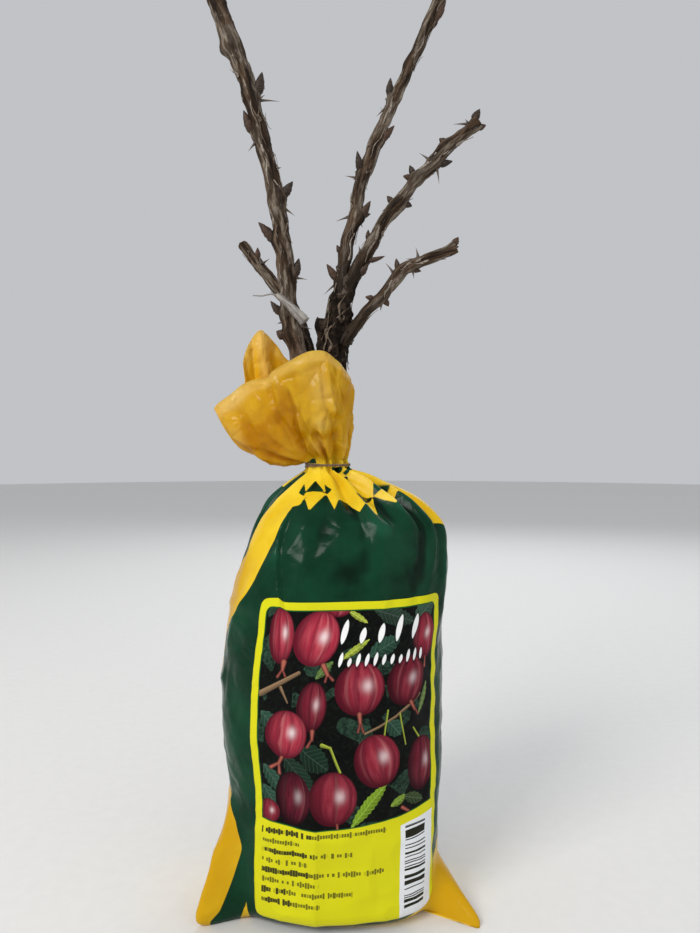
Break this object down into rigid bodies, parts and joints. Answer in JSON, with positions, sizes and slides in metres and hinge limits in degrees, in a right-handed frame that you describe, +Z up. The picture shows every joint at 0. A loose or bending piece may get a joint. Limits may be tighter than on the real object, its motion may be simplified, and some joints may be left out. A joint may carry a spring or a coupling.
{
  "type": "bagged bare-root gooseberry bush",
  "caption": "Leafless thorny gooseberry canes rising from a tied film bag that holds the roots in peat, with a label on the bag's front.",
  "frame": {"origin": "bottom centre of the whole object's box, on the surface the bag stands on", "axes": "+Z up along the canes, -Y out of the labelled front, +X to the label's right as seen from the front"},
  "size_m": [0.121, 0.0758, 0.4041],
  "materials": {
    "bag_film": "thin glossy film, dark green print with golden yellow where unprinted",
    "label": "coated printed paper, satin",
    "tie_cord": "twisted jute cord, matte",
    "peat": "damp fibrous peat, matte",
    "crown_bark": "rough dark bark",
    "cane_bark": "grey-brown bark with pale peeling strips",
    "dry_wood": "dead bleached wood, matte"
  },
  "bodies": {
    "root": {"bag_film": "bag_film", "front_label": "label", "neck_tie": "tie_cord", "peat_fill": "peat", "rootstock": "crown_bark", "cane_left_tall": "cane_bark", "cane_right_tall": "cane_bark", "cane_right_middle": "cane_bark", "cane_right_low": "cane_bark", "cane_back_left": "cane_bark", "dry_spur": "dry_wood"}
  },
  "joints": []
}
